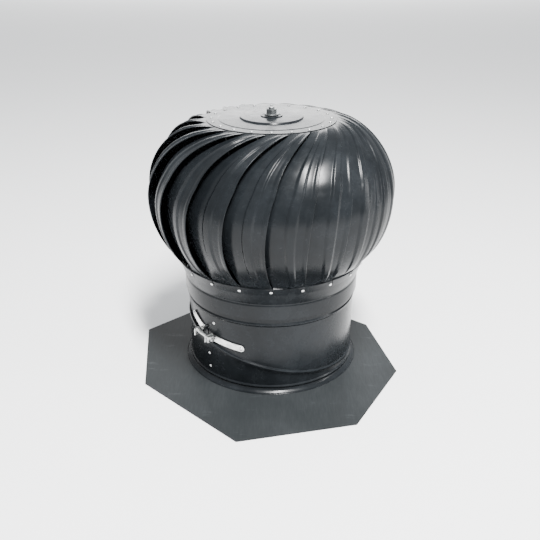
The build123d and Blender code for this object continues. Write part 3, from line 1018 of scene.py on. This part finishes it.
# ------------------------------------------------------------------ small hardware
@dataclass
class Hardware:
    """Rivet heads, the bearing cup, and the washer and nut on the shaft, in millimetres."""

    maker: Maker
    head: float = 2.7
    dome: float = 1.25
    head_turns: int = 20
    dome_steps: int = 7
    pole: float = 0.004
    strap_head: float = 3.4
    strap_dome: float = 1.5
    group_reach: float = 7.5
    across: Point = (0.3, 0.5, 0.81)
    cup_seat: float = 15.02
    cup_outside: float = 16.8
    cup_hole: float = 13.4
    cup_flange: float = 18.6
    cup_floor: tuple[float, float] = (443.55, 445.15)
    cup_rim: tuple[float, float] = (452.9, 454.4)
    cup_turns: int = 96
    shaft: float = 5.0
    washer: float = 12.5
    washer_low: float = 454.8
    washer_thickness: float = 2.0
    washer_edge: float = 0.3
    nut_flats: float = 17.0
    nut_thickness: float = 8.0
    nut_flat_share: float = 0.96
    nut_cone: float = 30.0
    nut_foot: float = 0.15
    nut_turns: int = 72

    @staticmethod
    def placed(
        grid: np.ndarray, origin: np.ndarray, across: np.ndarray, normal: np.ndarray
    ) -> np.ndarray:
        """Carry a grid from the Z axis to a place.

        Args:
            grid: Points about the Z axis, in metres.
            origin: Place, in metres.
            across: Direction that +X becomes.
            normal: Direction that +Z becomes.

        Returns:
            The moved grid.
        """
        across = np.asarray(across, float) / np.linalg.norm(across)
        normal = np.asarray(normal, float) / np.linalg.norm(normal)
        return np.asarray(origin) + grid @ np.stack([across, np.cross(normal, across), normal])

    def button(self, radius: float, height: float) -> np.ndarray:
        """Return a rivet's head: a flattened dome over a short edge, nearly closed at its poles.

        The outside at angle a is (radius cos a, 0.25 height + 0.75 height sin a).

        Args:
            radius: Radius of the head.
            height: Height of the head.

        Returns:
            Grid of shape (turns, section, 3) in metres.
        """
        angle = np.linspace(0.0, 0.5 * np.pi, self.dome_steps)
        dome = np.stack([radius * np.cos(angle), height * (0.25 + 0.75 * np.sin(angle))], -1)
        dome[-1, 0] = self.pole
        seat = np.array([(self.pole, 0.0), (radius * 0.98, 0.0)])
        return turned(np.concatenate([seat, dome]) * MM, self.head_turns)

    def nut(self) -> np.ndarray:
        """Return the shaft's nut about Z, with its upper corners turned off in a cone.

        At heading a the side stands at flats / 2 / cos(a'), where a' is a folded into 30 degrees
        each way. The upper end drops by the cone's tangent times the reach past the flat's radius,
        and the lower end rises by the foot's share of that.

        Returns:
            Grid of shape (turns, section, 3) in metres.
        """
        low = self.washer_low + self.washer_thickness
        high = low + self.nut_thickness
        turn = np.linspace(0.0, 2 * np.pi, self.nut_turns, endpoint=False)[:, None]
        folded = (turn + np.pi / 6) % (np.pi / 3) - np.pi / 6
        side = 0.5 * self.nut_flats / np.cos(folded)
        flat = 0.5 * self.nut_flats * self.nut_flat_share
        drop = (side - flat) * math.tan(math.radians(self.nut_cone))
        even = np.ones_like(side)
        bore = even * self.shaft
        radius = np.concatenate([bore, even * flat, side, side, even * flat, bore], 1)
        ends = [even * low, even * low, low + drop * self.nut_foot]
        height = np.concatenate([*ends, high - drop, even * high, even * high], 1)
        return np.stack([radius * np.cos(turn), radius * np.sin(turn), height], -1) * MM

    def from_node(
        self, node: str, body: str, name: str, radius: float, height: float
    ) -> bpy.types.Object:
        """Dome the heads of a CAD node of rivets where its heads are.

        Args:
            node: Node that holds the heads.
            body: Body that carries them.
            name: Name of the new piece.
            radius: Radius of a head.
            height: Height of a head.

        Returns:
            The piece.
        """
        head = self.button(radius, height)
        grids = []
        for loose in self.heads(node):
            middle = loose.mean(0)
            flat = loose - middle
            normal = np.linalg.svd(flat, full_matrices=False)[2][2]
            outward = np.array([middle[0], middle[1], 0.0])
            outward = np.array([0.0, 0.0, 1.0]) if abs(normal[2]) > 0.9 else outward
            normal = normal * (1 if normal @ outward > 0 else -1)
            seat = middle + normal * (flat @ normal).min()
            grids.append(self.placed(head, seat, np.cross(normal, self.across), normal))
        return self.maker.grid(name, grids, body, Finish.RIVET, (node,), along=True, angle=50.0)

    def stack(self) -> list[bpy.types.Object]:
        """Make what lies round the shaft's top: the bearing's cup, the washer and the nut.

        Returns:
            The pieces.
        """
        under, floor = self.cup_floor
        step, rim = self.cup_rim
        seat, flange = self.cup_seat, self.cup_flange
        cup = np.array(
            [
                (seat, floor), (seat, rim - 0.6), (seat + 0.58, rim), (flange - 0.7, rim),
                (flange, rim - 0.6), (flange, step), (self.cup_outside, step),
                (self.cup_outside, under), (self.cup_hole, under), (self.cup_hole, floor),
            ]
        )
        low, high = self.washer_low, self.washer_low + self.washer_thickness
        edge, rim = self.washer_edge, self.washer - self.washer_edge
        ring = np.array(
            [
                (self.shaft, low), (rim, low), (self.washer, low + edge),
                (self.washer, high - edge), (rim, high), (self.shaft, high),
            ]
        )
        cup_grid = turned(cup * MM, self.cup_turns)[:, ::-1]
        washer_grid = turned(ring * MM, self.nut_turns)[:, ::-1]
        steel, grid = Finish.STEEL, self.maker.grid
        return [
            grid("bearing_cup", [cup_grid], "rotor", Finish.BLACK, ("upper_cup",), along=True),
            grid("dished_washer", [washer_grid], "neck", steel, ("lock_washer",), along=True),
            grid("shaft_nut", [self.nut()], "neck", steel, ("lock_nut",), along=True, angle=25.0),
        ]

    def build(self) -> list[bpy.types.Object]:
        """Make every fastener that shows.

        Returns:
            The pieces.
        """
        small, large = (self.head, self.dome), (self.strap_head, self.strap_dome)
        made = [
            self.from_node("foot_rivets", "rotor", "foot_rivet_heads", *small),
            self.from_node("crown_rivets", "rotor", "crown_rivet_heads", *small),
            self.from_node("base_seam_rivets", "base", "seam_rivet_heads", *small),
            self.from_node("neck_seam_rivet", "neck", "neck_rivet_head", *small),
            self.from_node("brace_rivets", "neck", "brace_rivet_heads", *small),
            self.from_node("strap_rivets", "neck", "strap_rivet_heads", *large),
        ]
        return made + self.stack()

    def heads(self, node: str) -> list[np.ndarray]:
        """Sort a node's corners into its separate heads, by their reach from each other.

        Args:
            node: Node that holds the heads.

        Returns:
            Arrays of points in metres, one for each head.
        """
        mesh = bpy.data.objects[node].data
        spots = np.empty(3 * len(mesh.vertices))
        mesh.vertices.foreach_get("co", spots)
        spots = np.unique(spots.reshape(-1, 3).round(6), axis=0)
        groups: list[np.ndarray] = []
        while len(spots):
            near = np.linalg.norm(spots - spots[0], axis=1) < self.group_reach * MM
            groups.append(spots[near])
            spots = spots[~near]
        return groups


# ------------------------------------------------------------------ studio
def placed_basis(
    right: np.ndarray, up: np.ndarray, back: np.ndarray, place: np.ndarray
) -> Matrix:
    """Return the matrix of an object at a place.

    Args:
        right: Direction of its X.
        up: Direction of its Y.
        back: Direction of its Z.
        place: Where it stands, in metres.

    Returns:
        The matrix.
    """
    basis = np.eye(4)
    basis[:3, 0], basis[:3, 1], basis[:3, 2], basis[:3, 3] = right, up, back, place
    return Matrix(basis.tolist())


@dataclass(frozen=True)
class Lamp:
    """A soft rectangular lamp: places and sizes in metres, power in watts."""

    name: str
    place: Point
    target: Point
    size: tuple[float, float]
    power: float

    def hang(self) -> None:
        """Hang the lamp at its place, facing its target."""
        data = bpy.data.lights.new(self.name, "AREA")
        data.shape = "RECTANGLE"
        data.size, data.size_y = self.size
        data.energy = self.power
        back = np.subtract(self.place, self.target)
        back = back / np.linalg.norm(back)
        side = np.cross([0.0, 0.0, 1.0], back)
        side = side / np.linalg.norm(side)
        lamp = bpy.data.objects.new(self.name, data)
        lamp.matrix_world = placed_basis(side, np.cross(back, side), back, np.array(self.place))
        bpy.context.scene.collection.objects.link(lamp)


@dataclass
class Studio:
    """Camera, floor and lights. The camera's distances are millimetres, its angles radians."""

    lens: float = 46.667
    sensor: float = 36.0
    far_clip: float = 100.0
    look_height: float = 250.0
    distance: float = 1265.517
    rise: float = 0.3782326
    yaw: float = 0.0015822
    pitch: float = -0.0599820
    roll: float = -0.0028590
    floor_reach: float = 20.0
    floor_drop: float = 0.0005
    floor_tones: tuple[float, float] = (0.93, 0.95)
    sky: tuple[float, float, float, float] = (0.94, 0.97, 1.0, 1.0)
    sky_strength: float = 0.9
    lamps: tuple[Lamp, ...] = (
        Lamp("key", (0.35, -1.15, 2.5), (0.0, 0.0, 0.35), (0.34, 1.0), 300.0),
        Lamp("fill", (1.9, -0.5, 0.7), (0.0, 0.0, 0.2), (0.2, 1.2), 16.0),
        Lamp("rear", (0.0, 12.0, 3.2), (0.0, 0.0, 0.45), (9.0, 4.8), 760.0),
    )

    @staticmethod
    def spun(vector: np.ndarray, axis: np.ndarray, angle: float) -> np.ndarray:
        """Turn a vector about an axis by the right-hand rule."""
        return (
            vector * math.cos(angle)
            + np.cross(axis, vector) * math.sin(angle)
            + axis * np.dot(axis, vector) * (1 - math.cos(angle))
        )

    def camera(self) -> bpy.types.Object:
        """Make the camera and set it as the scene's.

        Returns:
            The camera.
        """
        ahead = np.array([0.0, math.cos(self.rise), -math.sin(self.rise)])
        right = np.array([1.0, 0.0, 0.0])
        up = np.cross(right, ahead)
        ahead, right = self.spun(ahead, up, self.yaw), self.spun(right, up, self.yaw)
        ahead, up = self.spun(ahead, right, self.pitch), self.spun(up, right, self.pitch)
        right, up = self.spun(right, ahead, self.roll), self.spun(up, ahead, self.roll)
        back, over = self.distance * math.cos(self.rise), self.distance * math.sin(self.rise)
        place = np.array([0.0, -back, self.look_height + over]) * MM
        camera = bpy.data.objects.new("camera", bpy.data.cameras.new("camera"))
        camera.data.lens = self.lens
        camera.data.sensor_width = self.sensor
        camera.data.clip_end = self.far_clip
        camera.matrix_world = placed_basis(right, up, -ahead, place)
        bpy.context.scene.collection.objects.link(camera)
        bpy.context.scene.camera = camera
        return camera

    def floor(self) -> None:
        """Lay the pale floor."""
        graph = Graph("studio_floor")
        low, high = self.floor_tones
        graph.dress(
            Base_Color=graph.blend(graph.noise(2.0), (low,) * 3, (high,) * 3),
            Roughness=0.9,
            Specular_IOR_Level=0.1,
        )
        reach, drop = self.floor_reach, -self.floor_drop
        signs = ((-1, -1), (1, -1), (1, 1), (-1, 1))
        corners = [(x * reach, y * reach, drop) for x, y in signs]
        mesh = bpy.data.meshes.new("floor")
        mesh.from_pydata(corners, [], [(0, 1, 2, 3)])
        mesh.materials.append(graph.material)
        floor = bpy.data.objects.new("floor", mesh)
        bpy.context.scene.collection.objects.link(floor)

    def build(self) -> None:
        """Make the floor, the light and the camera."""
        self.camera()
        self.floor()
        world = bpy.data.worlds.new("studio")
        bpy.context.scene.world = world
        world.use_nodes = True
        sky = world.node_tree.nodes["Background"]
        sky.inputs["Color"].default_value = self.sky
        sky.inputs["Strength"].default_value = self.sky_strength
        for lamp in self.lamps:
            lamp.hang()


# ------------------------------------------------------------------ assembly
def dress_frame(frame: dict, palette: Palette) -> None:
    """Give every CAD node the finish of its slot.

    Args:
        palette: The finishes.
    """
    for part in frame["record"]["subparts"]:
        palette.dress_node(frame["nodes"][part["node"]], Finish(part["material_slot"]))


def main() -> None:
    """Load the frame, dress it and build every piece over it."""
    logging.basicConfig(level=logging.INFO, format="%(name)s: %(message)s")
    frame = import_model()
    palette = Palette()
    dress_frame(frame, palette)
    maker = Maker(palette)
    pieces = [
        LowerCollar(maker).build(),
        UpperCollar(maker).build(),
        HeadRing(maker).build(),
        CrownDisc(maker).build(),
    ]
    pieces += VaneSet(maker).build()
    pieces += Hardware(maker).build()
    for piece in pieces:
        LOG.info("%s: %d faces", piece.name, len(piece.data.polygons))
    Studio().build()


if __name__ == "__main__":
    main()
